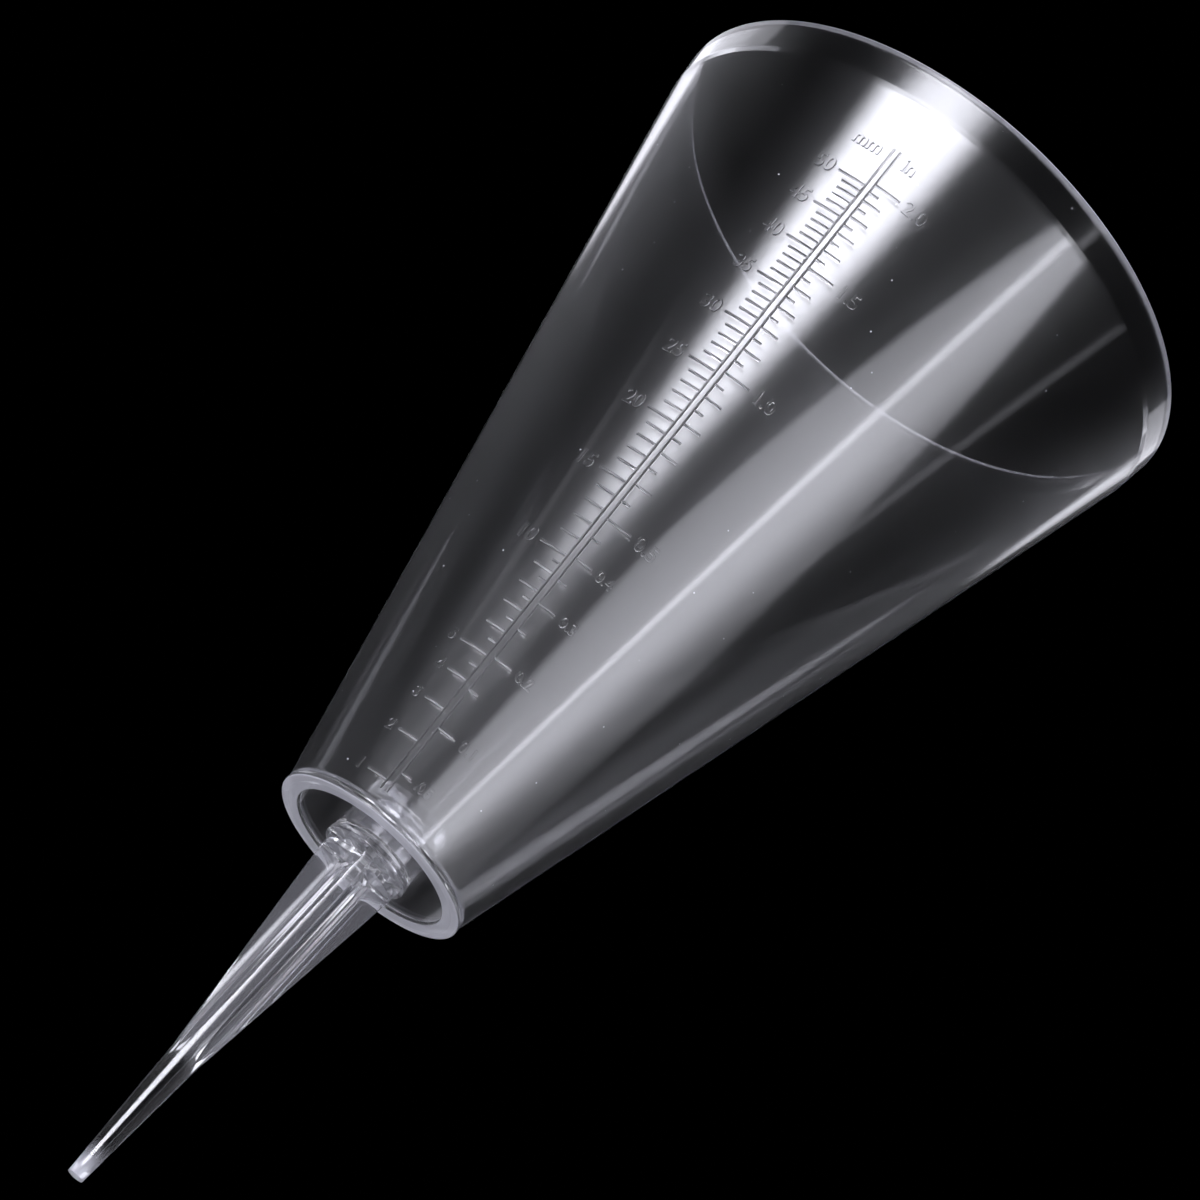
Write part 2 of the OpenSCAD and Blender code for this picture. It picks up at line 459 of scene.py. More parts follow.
@dataclass(frozen=True)
class ClearPlastic:
    """Clear moulded polystyrene, polished in its mould and handled since."""

    name: str
    tint: tuple[float, float, float] = (0.985, 0.985, 1.0)
    refraction: float = 1.59
    polish: float = 0.012
    wear: float = 0.29
    worn_polish: float = 0.285
    frost: tuple[float, float, float] = (0.92, 0.92, 1.0)
    frost_roughness: float = 0.6
    frost_share: float = 0.7

    def worn(self, x: Term, y: Term, z: Term) -> Term | float:
        """Works out how much of the surface is worn dull at a point: the same everywhere.

        Args:
            x: The point's x in millimetres.
            y: Its y.
            z: Its height.

        Returns:
            The share, from 0 to 1.
        """
        return self.wear

    def frosted(self, x: Term, y: Term, z: Term) -> Term | float:
        """Works out how much of the surface is frosted at a point: none of it.

        Args:
            x: The point's x in millimetres.
            y: Its y.
            z: Its height.

        Returns:
            The share, from 0 to 1.
        """
        return 0.0

    def material(self) -> bpy.types.Material:
        """Builds the material.

        Returns:
            The finished material.
        """
        made = bpy.data.materials.new(self.name)
        made.use_nodes = True
        made.node_tree.nodes.clear()
        graph = Graph(made.node_tree)
        place = graph.node("ShaderNodeTexCoord").outputs["Object"]
        x, y, z = (part * (1.0 / MM) for part in graph.parts(place))
        clear = {"Base Color": (*self.tint, 1.0), "Transmission Weight": 1.0,
                 "IOR": self.refraction}
        polished = graph.node("ShaderNodeBsdfPrincipled", None,
                              {**clear, "Roughness": self.polish})
        dull = graph.node("ShaderNodeBsdfPrincipled", None,
                          {**clear, "Roughness": self.worn_polish})
        matt = graph.node("ShaderNodeBsdfPrincipled", None,
                          {"Base Color": (*self.frost, 1.0),
                           "Roughness": self.frost_roughness})
        skin = graph.node("ShaderNodeMixShader", None, {
            0: self.worn(x, y, z), 1: polished.outputs[0], 2: dull.outputs[0]})
        whole = graph.node("ShaderNodeMixShader", None, {
            0: self.frosted(x, y, z) * self.frost_share, 1: skin.outputs[0],
            2: matt.outputs[0]})
        output = graph.node("ShaderNodeOutputMaterial")
        graph.feed(output.inputs["Surface"], whole.outputs[0])
        return made


@dataclass(frozen=True)
class CupPlastic(ClearPlastic):
    """The cup's plastic: its outside is worn, its flat ends are frosted, and it has some dust.

    The cup gives its own sizes for the first four, in millimetres.
    """

    wall_foot: float = 0.0
    taper: float = 0.0
    ring_inside: float = 0.0
    rim: float = 0.0
    worn_depth: float = 1.0
    foot_frost: tuple[float, float] = (0.2, 0.05)
    rim_frost: tuple[float, float] = (-0.35, -0.1)
    rim_share: float = 0.8
    dust_cell: float = 4.0
    dust_size: float = 0.14

    def worn(self, x: Term, y: Term, z: Term) -> Term:
        """Works out the wear, which is on the outside only.

        Args:
            x: The point's x in millimetres.
            y: Its y.
            z: Its height.

        Returns:
            The share, from 0 to 1.
        """
        out = (x * x + y * y) ** 0.5
        return out.above(z * self.taper + (self.wall_foot - self.worn_depth)) * self.wear

    def frosted(self, x: Term, y: Term, z: Term) -> Term:
        """Works out the frost, on the flat ends of foot ring and rim and on specks of dust.

        Args:
            x: The point's x in millimetres.
            y: Its y.
            z: Its height.

        Returns:
            The share, from 0 to 1.
        """
        out = (x * x + y * y) ** 0.5
        foot = z.rise(*self.foot_frost) * out.above(self.ring_inside)
        start, full = self.rim_frost
        rim = z.rise(self.rim + start, self.rim + full) * self.rim_share
        speck = x.graph.term("ShaderNodeTexVoronoi", {"feature": "F1"}, {
            "Vector": x.graph.vector(x, y, z), "Scale": 1.0 / self.dust_cell}, "Distance")
        return foot + rim + speck.below(self.dust_size / self.dust_cell)


@dataclass(frozen=True)
class SpikePlastic(ClearPlastic):
    """The spike's plastic: the soil has frosted its point, and the fins are satin.

    The spike gives the height of its own point, in millimetres.
    """

    wear: float = 0.08
    point: float = 0.0
    point_frost: float = 7.0
    point_share: float = 0.6
    satin_rise: tuple[float, float] = (-47.0, -41.0)
    satin: float = 0.09

    def frosted(self, x: Term, y: Term, z: Term) -> Term:
        """Works out the frost, on the last few millimetres and thinly on the fins.

        Args:
            x: The point's x in millimetres.
            y: Its y.
            z: Its height.

        Returns:
            The share, from 0 to 1.
        """
        fins = z.rise(*self.satin_rise) * self.satin
        return z.rise(self.point + self.point_frost, self.point) * self.point_share + fins


def arc_points(corner: np.ndarray, before: np.ndarray, after: np.ndarray, radius: float,
               steps: int) -> list[tuple[np.ndarray, np.ndarray]]:
    """Rounds one corner of a section.

    Args:
        corner: The corner.
        before: The corner before it.
        after: The corner after it.
        radius: The radius of the rounding.
        steps: The number of steps along the arc.

    Returns:
        Points along the arc, each with its outward normal, which is to the left of the way.
    """
    into = (corner - before) / np.linalg.norm(corner - before)
    out = (after - corner) / np.linalg.norm(after - corner)
    turn = math.atan2(into[0] * out[1] - into[1] * out[0], float(into @ out))
    reach = radius * math.tan(abs(turn) / 2)
    left = np.array([-into[1], into[0]])
    sign = math.copysign(1.0, turn)
    centre = corner - into * reach + left * radius * sign
    points = []
    for step in range(steps + 1):
        angle = turn * step / steps
        normal = math.cos(angle) * left + math.sin(angle) * np.array([-left[1], left[0]])
        points.append((centre - normal * radius * sign, normal))
    return points


def rounded_section(corners: Sequence[tuple[float, float, float]], arc_steps: int,
                    longest: float) -> tuple[np.ndarray, np.ndarray]:
    """Rounds an open section's corners and splits its long stretches.

    Args:
        corners: Radius, height and rounding of each corner, with the solid to the right.
        arc_steps: The number of steps along each rounding.
        longest: The longest straight stretch left whole.

    Returns:
        The points and their normals, as arrays of radius and height.
    """
    places = [np.array(c[:2], float) for c in corners]
    rows: list[tuple[np.ndarray, np.ndarray]] = []
    for index, (place, (_, _, radius)) in enumerate(zip(places, corners)):
        if index in (0, len(places) - 1):
            along = places[1] - places[0] if index == 0 else places[-1] - places[-2]
            along = along / np.linalg.norm(along)
            fresh = [(place, np.array([-along[1], along[0]]))]
        else:
            fresh = arc_points(place, places[index - 1], places[index + 1], radius, arc_steps)
        if rows:
            start, normal = rows[-1]
            gap = fresh[0][0] - start
            pieces = max(1, math.ceil(np.linalg.norm(gap) / longest))
            rows += [(start + gap * k / pieces, normal) for k in range(1, pieces)]
        rows += fresh
    return np.array([p for p, _ in rows]), np.array([n for _, n in rows])


def spun_mesh(name: str, points: np.ndarray, segments: int) -> bpy.types.Mesh:
    """Spins a section that starts and ends on the axis into a closed mesh.

    Args:
        name: The mesh's name.
        points: Radius and height of each point, in millimetres.
        segments: The number of segments round the axis.

    Returns:
        The mesh, in metres.
    """
    angle = np.arange(segments) * 2 * np.pi / segments
    rings = points[1:-1]
    x = rings[:, :1] * np.cos(angle)
    y = rings[:, :1] * np.sin(angle)
    z = np.repeat(rings[:, 1:], segments, axis=1)
    body = np.stack([x, y, z], axis=-1).reshape(-1, 3)
    ends = np.array([[0, 0, points[0, 1]], [0, 0, points[-1, 1]]])
    verts = np.concatenate([body, ends]) * MM
    first, last = len(body), len(body) + 1
    faces: list[tuple[int, ...]] = []
    top = (len(rings) - 1) * segments
    for j in range(segments):
        k = (j + 1) % segments
        faces.append((first, j, k))
        faces.append((last, top + k, top + j))
        for i in range(len(rings) - 1):
            low, high = i * segments, (i + 1) * segments
            faces.append((low + j, high + j, high + k, low + k))
    mesh = bpy.data.meshes.new(name)
    mesh.from_pydata(verts.tolist(), [], faces)
    mesh.update()
    return mesh


def clipped_ears(flat: np.ndarray) -> list[tuple[int, int, int]]:
    """Cuts a flat outline into triangles, the best shaped ear first.

    Args:
        flat: The outline's points, counter-clockwise.

    Returns:
        The triangles as numbers of the points, or nothing if the outline can't be cut.
    """
    def cross(a: np.ndarray, b: np.ndarray, points: np.ndarray) -> np.ndarray:
        """Twice the signed area of a line and each point."""
        way = b - a
        return way[0] * (points[..., 1] - a[1]) - way[1] * (points[..., 0] - a[0])

    ring = list(range(len(flat)))
    cuts = []
    while len(ring) > 2:
        best, place = 0.0, None
        for k in range(len(ring)):
            i, j, m = ring[k - 1], ring[k], ring[(k + 1) % len(ring)]
            a, b, c = flat[i], flat[j], flat[m]
            area = float(cross(a, b, c))
            shape = area / max(float(np.sum((x - y) ** 2)) for x, y in ((a, b), (b, c), (c, a)))
            if shape <= best:
                continue
            others = flat[[n for n in ring if n not in (i, j, m)]]
            inside = ((cross(a, b, others) > 1e-7) & (cross(b, c, others) > 1e-7)
                      & (cross(c, a, others) > 1e-7)) if len(others) else np.zeros(0, bool)
            if not inside.any():
                best, place = shape, k
        if place is None:
            return []
        cuts.append((ring[place - 1], ring[place], ring[(place + 1) % len(ring)]))
        ring.pop(place)
    return cuts


def linked(name: str, mesh: bpy.types.Mesh) -> bpy.types.Object:
    """Links a mesh to the scene as an object at the origin."""
    made = bpy.data.objects.new(name, mesh)
    bpy.context.scene.collection.objects.link(made)
    return made


def settled(source: bpy.types.Object) -> bpy.types.Mesh:
    """Makes a plain mesh of an object with its modifiers, and removes the object.

    Args:
        source: The object to settle.

    Returns:
        The evaluated mesh, under the object's name.
    """
    graph = bpy.context.evaluated_depsgraph_get()
    mesh = bpy.data.meshes.new_from_object(source.evaluated_get(graph))
    name = source.name
    old = source.data
    bpy.data.objects.remove(source)
    if isinstance(old, bpy.types.Mesh):
        bpy.data.meshes.remove(old)
    else:
        bpy.data.curves.remove(old)
    mesh.name = name
    return mesh


@dataclass
class Scale:
    """The raised graduations and figures, laid out flat and wrapped round the cone.

    Flat places are x along the wall, -y out of it and z up, in millimetres.
    """

    foot_radius: float
    taper: float
    opening_radius: float
    law_radius: float = 16.0
    law_height: float = -4.1
    relief: float = 0.3
    tick_share: float = 0.92
    sunk: float = 0.35
    foot_width: float = 0.46
    crown_steps: int = 6
    line_gap: float = 1.2
    line_top: float = 131.5
    line_foot: float = 3.5
    lengths_mm: tuple[float, float, float] = (5.3, 3.8, 1.6)
    lengths_in: tuple[float, float, float] = (5.0, 3.5, 1.9)
    figure_height: float = 2.5
    small_height: float = 1.9
    figure_gap: float = 0.9
    figure_bevel: float = 0.06
    font_share: float = 0.72
    weld: float = 0.0004
    bar_steps: int = 12
    line_steps: int = 120

    def level(self, depth: float) -> float:
        """Height of the water for a depth of rain, both in millimetres."""
        volume = self.law_radius ** 3 + 3 * self.taper * self.opening_radius ** 2 * depth
        return (volume ** (1 / 3) - self.law_radius) / self.taper + self.law_height

    def bar(self, name: str, length: float, width: float, steps: int, lift: float) -> bpy.types.Mesh:
        """Makes a flat bar with a round top along x, centred at the origin.

        Args:
            name: The mesh's name.
            length: The bar's length.
            width: Its width at the wall.
            steps: The number of steps along it.
            lift: Its height over the wall.

        Returns:
            The mesh, in metres.
        """
        rise = [(-lift * math.sin(a), -width / 2 * math.cos(a))
                for a in np.linspace(0, math.pi, self.crown_steps + 1)]
        section = [(self.sunk, -width / 2), *rise, (self.sunk, width / 2)]
        xs = np.linspace(-length / 2, length / 2, steps + 1)
        verts = [(x * MM, y * MM, z * MM) for x in xs for y, z in section]
        n = len(section)
        faces: list[tuple[int, ...]] = [tuple(range(n - 1, -1, -1)),
                                        tuple(range(steps * n, steps * n + n))]
        faces += [(i * n + k, i * n + (k + 1) % n, (i + 1) * n + (k + 1) % n, (i + 1) * n + k)
                  for i in range(steps) for k in range(n)]
        mesh = bpy.data.meshes.new(name)
        mesh.from_pydata(verts, [], faces)
        mesh.update()
        return mesh

    def wrap(self, graph: Graph, geometry: Any) -> Any:
        """Adds the nodes that wrap flat geometry round the cone.

        Args:
            graph: The geometry graph.
            geometry: The flat geometry's socket.

        Returns:
            The wrapped geometry's socket.
        """
        lean = math.atan(self.taper)
        x, y, z = graph.parts(graph.node("GeometryNodeInputPosition").outputs[0])
        wall = z * self.taper + self.foot_radius * MM
        turn = x / wall
        radius = wall - y * math.cos(lean)
        place = graph.vector(radius * turn.math("SINE"), -(radius * turn.math("COSINE")),
                             z + y * math.sin(lean))
        moved = graph.node("GeometryNodeSetPosition", None, {"Geometry": geometry,
                                                            "Position": place})
        return moved.outputs[0]

    def marks_tree(self, plastic: bpy.types.Material) -> bpy.types.NodeTree:
        """Builds the tree that repeats a bar at every graduation of one kind.

        Args:
            plastic: The material of the marks.

        Returns:
            The geometry node tree.
        """
        tree = bpy.data.node_groups.new("graduations", "GeometryNodeTree")
        tree.interface.new_socket("Bar", in_out="INPUT", socket_type="NodeSocketGeometry")
        tree.interface.new_socket("Count", in_out="INPUT", socket_type="NodeSocketInt")
        for name in ("First depth", "Step", "Long every", "Middle every", "Long", "Middle",
                     "Short", "Side", "Edge"):
            tree.interface.new_socket(name, in_out="INPUT", socket_type="NodeSocketFloat")
        tree.interface.new_socket("Marks", in_out="OUTPUT", socket_type="NodeSocketGeometry")
        graph = Graph(tree)
        given = graph.node("NodeGroupInput").outputs
        value = {socket.name: Term(graph, socket) for socket in given if socket.name}
        index = graph.term("GeometryNodeInputIndex")
        depth = index * value["Step"] + value["First depth"]
        start = self.law_radius ** 3
        swell = 3 * self.taper * self.opening_radius ** 2
        height = ((depth * swell + start) ** (1 / 3) - self.law_radius) / self.taper + self.law_height
        number = index + 1.0
        is_long = (number % value["Long every"]).below(0.5)
        is_middle = (number % value["Middle every"]).below(0.5)
        other = is_middle * value["Middle"] + (1.0 - is_middle) * value["Short"]
        length = is_long * value["Long"] + (1.0 - is_long) * other
        across = (length / 2.0 + value["Edge"]) * value["Side"]
        points = graph.node("GeometryNodePoints", None, {
            "Count": given["Count"], "Position": graph.vector(across * MM, 0.0, height * MM)})
        placed = graph.node("GeometryNodeInstanceOnPoints", None, {
            "Points": points.outputs[0], "Instance": given["Bar"],
            "Scale": graph.vector(length, 1.0, 1.0)})
        real = graph.node("GeometryNodeRealizeInstances", None, {0: placed.outputs[0]})
        dressed = graph.node("GeometryNodeSetMaterial", None, {
            "Geometry": self.wrap(graph, real.outputs[0]), "Material": plastic})
        graph.node("NodeGroupOutput", None, {0: dressed.outputs[0]})
        return tree

    def wrap_tree(self, plastic: bpy.types.Material) -> bpy.types.NodeTree:
        """Builds the tree that only wraps flat geometry round the cone.

        Args:
            plastic: The material of the geometry.

        Returns:
            The geometry node tree.
        """
        tree = bpy.data.node_groups.new("wrapped", "GeometryNodeTree")
        tree.interface.new_socket("Flat", in_out="INPUT", socket_type="NodeSocketGeometry")
        tree.interface.new_socket("Wrapped", in_out="OUTPUT", socket_type="NodeSocketGeometry")
        graph = Graph(tree)
        given = graph.node("NodeGroupInput").outputs[0]
        dressed = graph.node("GeometryNodeSetMaterial", None, {
            "Geometry": self.wrap(graph, given), "Material": plastic})
        graph.node("NodeGroupOutput", None, {0: dressed.outputs[0]})
        return tree

    @staticmethod
    def treated(name: str, mesh: bpy.types.Mesh, tree: bpy.types.NodeTree,
                values: dict[str, Any]) -> bpy.types.Mesh:
        """Runs a mesh through a geometry tree and settles the result.

        Args:
            name: The name of the result.
            mesh: The mesh that goes in.
            tree: The tree.
            values: Its inputs by name.

        Returns:
            The plain mesh that comes out.
        """
        holder = linked(name, mesh)
        modifier = holder.modifiers.new("marks", "NODES")
        modifier.node_group = tree
        for item in tree.interface.items_tree:
            if item.in_out == "INPUT" and item.name in values:
                modifier[item.identifier] = values[item.name]
        return settled(holder)

    def rows(self, plastic: bpy.types.Material) -> list[bpy.types.Mesh]:
        """Makes the graduations of both sides.

        Args:
            plastic: The material of the marks.

        Returns:
            One mesh for each kind of graduation.
        """
        tree = self.marks_tree(plastic)
        edge = self.line_gap / 2 - self.foot_width / 4
        tick = self.relief * self.tick_share
        kinds = {
            "whole_mm": dict(side=Side.MILLIMETRES, count=50, first=1.0, step=1.0, every=(5, 1),
                             lengths=self.lengths_mm),
            "half_mm": dict(side=Side.MILLIMETRES, count=6, first=4.5, step=1.0,
                            every=(NEVER, NEVER), lengths=self.lengths_mm),
            "inches": dict(side=Side.INCHES, count=40, first=INCH / 20, step=INCH / 20,
                           every=(10, 2), lengths=self.lengths_in),
        }
        made = []
        for name, kind in kinds.items():
            long, middle, short = kind["lengths"]
            long_every, middle_every = kind["every"]
            made.append(self.treated(
                name, self.bar(name, 1.0, self.foot_width, self.bar_steps, tick), tree, {
                    "Count": kind["count"], "First depth": kind["first"], "Step": kind["step"],
                    "Long every": float(long_every), "Middle every": float(middle_every),
                    "Long": long, "Middle": middle, "Short": short,
                    "Side": float(kind["side"].value), "Edge": edge}))
        return made

    def lines(self, plastic: bpy.types.Material) -> bpy.types.Mesh:
        """Makes the two long centre lines.

        Args:
            plastic: The material of the lines.

        Returns:
            The wrapped mesh of both.
        """
        tall = self.line_top - self.line_foot
        both = bmesh.new()
        for side in Side:
            bar = self.bar("line", tall, self.foot_width, self.line_steps, self.relief)
            stand = Matrix.Rotation(-math.pi / 2, 4, "Y")
            shift = Matrix.Translation(Vector((side.value * self.line_gap / 2, 0,
                                               self.line_foot + tall / 2)) * MM)
            bar.transform(shift @ stand)
            both.from_mesh(bar)
            bpy.data.meshes.remove(bar)
        mesh = bpy.data.meshes.new("centre_lines")
        both.to_mesh(mesh)
        both.free()
        return self.treated("centre_lines", mesh, self.wrap_tree(plastic), {})

    def labels(self) -> list[tuple[str, float, float, float]]:
        """Lists the figures and the unit signs.

        Returns:
            Each one's text, height on the wall, size, and the edge that it starts at.
        """
        edge = self.line_gap / 2
        long_mm, short_mm, _ = self.lengths_mm
        long_in, short_in, half_in = self.lengths_in
        gap = self.figure_gap
        rows = [(str(depth), self.level(depth), self.figure_height, -(edge + long_mm + gap))
                for depth in range(10, 51, 5)]
        rows += [(str(depth), self.level(depth), self.small_height,
                  -(edge + (long_mm if depth == 5 else short_mm) + gap)) for depth in range(1, 6)]
        rows += [(f"{half / 2:.1f}", self.level(half / 2 * INCH), self.figure_height,
                  edge + long_in + gap) for half in range(1, 5)]
        rows += [(f"0.{tenth}", self.level(tenth / 10 * INCH), self.small_height,
                  edge + short_in + gap) for tenth in range(1, 5)]
        unit_z = self.line_top - self.figure_height / 2
        rows += [(".05", self.level(0.05 * INCH), self.small_height, edge + half_in + gap),
                 ("mm", unit_z, self.figure_height, -(2 * edge + gap)),
                 ("in", unit_z, self.figure_height, 2 * edge + gap)]
        return rows

    def figures(self, plastic: bpy.types.Material) -> list[bpy.types.Mesh]:
        """Makes the raised figures and the two unit signs.

        Args:
            plastic: The material of the figures.

        Returns:
            One wrapped mesh for each figure or sign.
        """
        tree = self.wrap_tree(plastic)
        made = []
        for text, height, size, edge in self.labels():
            curve = bpy.data.curves.new("figure", "FONT")
            curve.body = text
            curve.resolution_u = 4
            curve.align_y = "CENTER"
            curve.align_x = "RIGHT" if edge < 0 else "LEFT"
            curve.size = size * MM / self.font_share
            curve.bevel_depth = self.figure_bevel * MM
            curve.bevel_resolution = 1
            curve.extrude = (self.relief + self.sunk) / 2 * MM - curve.bevel_depth
            holder = bpy.data.objects.new("figure", curve)
            bpy.context.scene.collection.objects.link(holder)
            bpy.context.view_layer.update()
            mesh = settled(holder)
            stand = Matrix.Rotation(math.pi / 2, 4, "X")
            depth = (self.sunk - self.relief) / 2
            mesh.transform(Matrix.Translation(Vector((edge, depth, height)) * MM) @ stand)
            shape = bmesh.new()
            shape.from_mesh(mesh)
            bmesh.ops.remove_doubles(shape, verts=shape.verts, dist=self.weld * MM)
            shape.to_mesh(mesh)
            shape.free()
            made.append(self.treated(f"figure_{text}", mesh, tree, {}))
        return made


@dataclass
class Cup:
    """The clear cup with its foot ring, socket boss and graduations, in millimetres."""

    rim_radius: float
    height: float
    band_height: float = 6.0
    band_rise: float = 0.8
    foot_plane_radius: float = 17.65
    wall: float = 2.0
    foot_out: float = 0.4
    foot_width: float = 3.2
    foot_height: float = 0.5
    recess: float = 0.6
    floor: float = 1.4
    boss_radius: float = 7.4
    socket_radius: float = 5.0
    socket_depth: float = 8.4
    roof: float = 1.6
    boss_edge: float = 0.25
    floor_corner: float = 0.9
    band_bend: float = 2.5
    rim_inside_edge: float = 0.55
    rim_edge: float = 0.4
    ring_top_edge: float = 0.12
    ring_edge: float = 0.3
    ring_inside_edge: float = 0.12
    small_edge: float = 0.2
    boss_foot_edge: float = 0.15
    socket_edge: float = 0.3
    segments: int = 360
    arc_steps: int = 5
    longest: float = 9.0
    spun_slack: float = 0.03

    @property
    def band_z(self) -> float:
        """Height at which the steeper band starts."""
        return self.height - self.band_height

    @property
    def taper(self) -> float:
        """Growth of the cone's radius per unit of height."""
        return (self.rim_radius - self.band_rise - self.foot_plane_radius) / self.band_z

    @property
    def ring_inside(self) -> float:
        """Inner radius of the foot ring."""
        return self.foot_plane_radius + self.foot_out - self.foot_width

    def cone_radius(self, z: float) -> float:
        """Outer radius of the cone at a height."""
        return self.foot_plane_radius + self.taper * z

    def section(self) -> tuple[np.ndarray, np.ndarray]:
        """Works out the rounded section of the whole cup, from the boss's top to its socket.

        Returns:
            The points and normals.
        """
        wall = self.wall / math.cos(math.atan(self.taper))
        floor_z = self.recess + self.floor
        foot = self.foot_plane_radius + self.foot_out
        inside = self.ring_inside
        rim = self.rim_radius
        shoulder = self.foot_height + self.foot_out
        corners = [
            (0.0, self.socket_depth + self.roof, 0.0),
            (self.boss_radius, self.socket_depth + self.roof, self.boss_edge),
            (self.boss_radius, floor_z, self.boss_edge),
            (self.cone_radius(floor_z) - wall, floor_z, self.floor_corner),
            (self.cone_radius(self.band_z) - wall, self.band_z, self.band_bend),
            (rim - self.wall, self.height, self.rim_inside_edge),
            (rim, self.height, self.rim_edge),
            (self.cone_radius(self.band_z), self.band_z, self.band_bend),
            (self.cone_radius(shoulder), shoulder, self.small_edge),
            (foot, self.foot_height, self.ring_top_edge),
            (foot, 0.0, self.ring_edge),
            (inside, 0.0, self.ring_inside_edge),
            (inside, self.recess, self.small_edge),
            (self.boss_radius, self.recess, self.small_edge),
            (self.boss_radius, 0.0, self.boss_foot_edge),
            (self.socket_radius, 0.0, self.socket_edge),
            (self.socket_radius, self.socket_depth, self.socket_edge),
            (0.0, self.socket_depth, 0.0),
        ]
        return rounded_section(corners, self.arc_steps, self.longest)

    def united(self, body: bpy.types.Mesh, reliefs: Sequence[bpy.types.Mesh]) -> bpy.types.Mesh:
        """Joins the reliefs to the body as one closed solid, worked out in millimetres.

        Args:
            body: The spun cup.
            reliefs: Closed meshes that reach into its wall.

        Returns:
            The united mesh.
        """
        larger = Matrix.Scale(1.0 / MM, 4)
        body.transform(larger)
        holder = linked("cup_body", body)
        gathered = bmesh.new()
        for relief in reliefs:
            relief.transform(larger)
            gathered.from_mesh(relief)
            bpy.data.meshes.remove(relief)
        data = bpy.data.meshes.new("reliefs")
        gathered.to_mesh(data)
        gathered.free()
        tool = linked("reliefs", data)
        modifier = holder.modifiers.new("reliefs", "BOOLEAN")
        modifier.operation = "UNION"
        modifier.solver = "EXACT"
        modifier.use_self = True
        modifier.object = tool
        mesh = settled(holder)
        mesh.transform(larger.inverted())
        bpy.data.objects.remove(tool)
        bpy.data.meshes.remove(data)
        return mesh

    @staticmethod
    def folded_faces(mesh: bpy.types.Mesh) -> list[int]:
        """Finds the many-sided faces that would be drawn with a triangle turned over.

        Args:
            mesh: The united mesh.

        Returns:
            The numbers of the faces.
        """
        mesh.calc_loop_triangles()
        found = set()
        for triangle in mesh.loop_triangles:
            face = mesh.polygons[triangle.polygon_index]
            if face.loop_total > 4:
                a, b, c = (mesh.vertices[i].co for i in triangle.vertices)
                if (b - a).cross(c - a).dot(face.normal) < 0.0:
                    found.add(face.index)
        return sorted(found)

    def mend_faces(self, mesh: bpy.types.Mesh) -> None:
        """Cuts the deeply notched faces that the unions leave into sound triangles.

        Args:
            mesh: The united mesh.
        """
        folded = self.folded_faces(mesh)
        shape = bmesh.new()
        shape.from_mesh(mesh)
        shape.faces.ensure_lookup_table()
        left = 0
        for face in [shape.faces[i] for i in folded]:
            corners = list(face.verts)
            turn = face.normal.rotation_difference(Vector((0, 0, 1)))
            flat = np.array([(turn @ (vert.co - corners[0].co))[:2] for vert in corners]) / MM
            cuts = clipped_ears(flat)
            if not cuts:
                left += 1
                continue
            shape.faces.remove(face)
            for cut in cuts:
                shape.faces.new([corners[i] for i in cut])
        LOG.info("mended %d notched faces, left %d", len(folded) - left, left)
        shape.to_mesh(mesh)
        shape.free()

    def smooth_normals(self, mesh: bpy.types.Mesh, points: np.ndarray, normals: np.ndarray) -> None:
        """Gives every face that lies along the spun surface that surface's own normals.

        Args:
            mesh: The united mesh.
            points: The section's points, in millimetres.
            normals: Their normals.
        """
        loops = len(mesh.loops)
        co = np.zeros(len(mesh.vertices) * 3)
        mesh.vertices.foreach_get("co", co)
        corner = np.zeros(loops, int)
        mesh.loops.foreach_get("vertex_index", corner)
        totals = np.zeros(len(mesh.polygons), int)
        mesh.polygons.foreach_get("loop_total", totals)
        flat = np.zeros(len(mesh.polygons) * 3)
        mesh.polygons.foreach_get("normal", flat)
        face_normal = np.repeat(flat.reshape(-1, 3), totals, axis=0)
        place = co.reshape(-1, 3)[corner] / MM
        radius = np.hypot(place[:, 0], place[:, 1])
        flat_place = np.stack([radius, place[:, 2]], axis=1)
        best = np.full(loops, np.inf)
        spun = np.zeros((loops, 2))
        for a, b, na, nb in zip(points[:-1], points[1:], normals[:-1], normals[1:]):
            way = b - a
            share = np.clip(((flat_place - a) @ way) / max(float(way @ way), 1e-12), 0, 1)
            gap = np.linalg.norm(flat_place - a - share[:, None] * way, axis=1)
            normal = na + share[:, None] * (nb - na)
            nearer = gap < best
            best[nearer] = gap[nearer]
            spun[nearer] = normal[nearer]
        safe = np.maximum(radius, 1e-6)
        analytic = np.stack([spun[:, 0] * place[:, 0] / safe, spun[:, 0] * place[:, 1] / safe,
                             spun[:, 1]], axis=1)
        analytic /= np.linalg.norm(analytic, axis=1, keepdims=True)
        starts = np.concatenate([[0], np.cumsum(totals)[:-1]])
        spun_face = np.repeat(np.maximum.reduceat(best, starts) < self.spun_slack, totals)
        chosen = np.where(spun_face[:, None], analytic, face_normal)
        mesh.shade_smooth()
        mesh.normals_split_custom_set(chosen.tolist())

    def build(self) -> bpy.types.Object:
        """Builds the cup and hands it to its body.

        Returns:
            The finished piece.
        """
        finish = CupPlastic("clear_polystyrene_cup", wall_foot=self.foot_plane_radius,
                            taper=self.taper, ring_inside=self.ring_inside, rim=self.height)
        plastic = finish.material()
        points, normals = self.section()
        body = spun_mesh("cup_body", points, self.segments)
        body.materials.append(plastic)
        scale = Scale(self.foot_plane_radius, self.taper, self.rim_radius)
        reliefs = [scale.lines(plastic), *scale.rows(plastic), *scale.figures(plastic)]
        mesh = self.united(body, reliefs)
        self.mend_faces(mesh)
        self.smooth_normals(mesh, points, normals)
        mesh.materials.clear()
        mesh.materials.append(plastic)
        piece = linked("rain_cup", mesh)
        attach(piece, "cup")
        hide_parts("cup")
        return piece


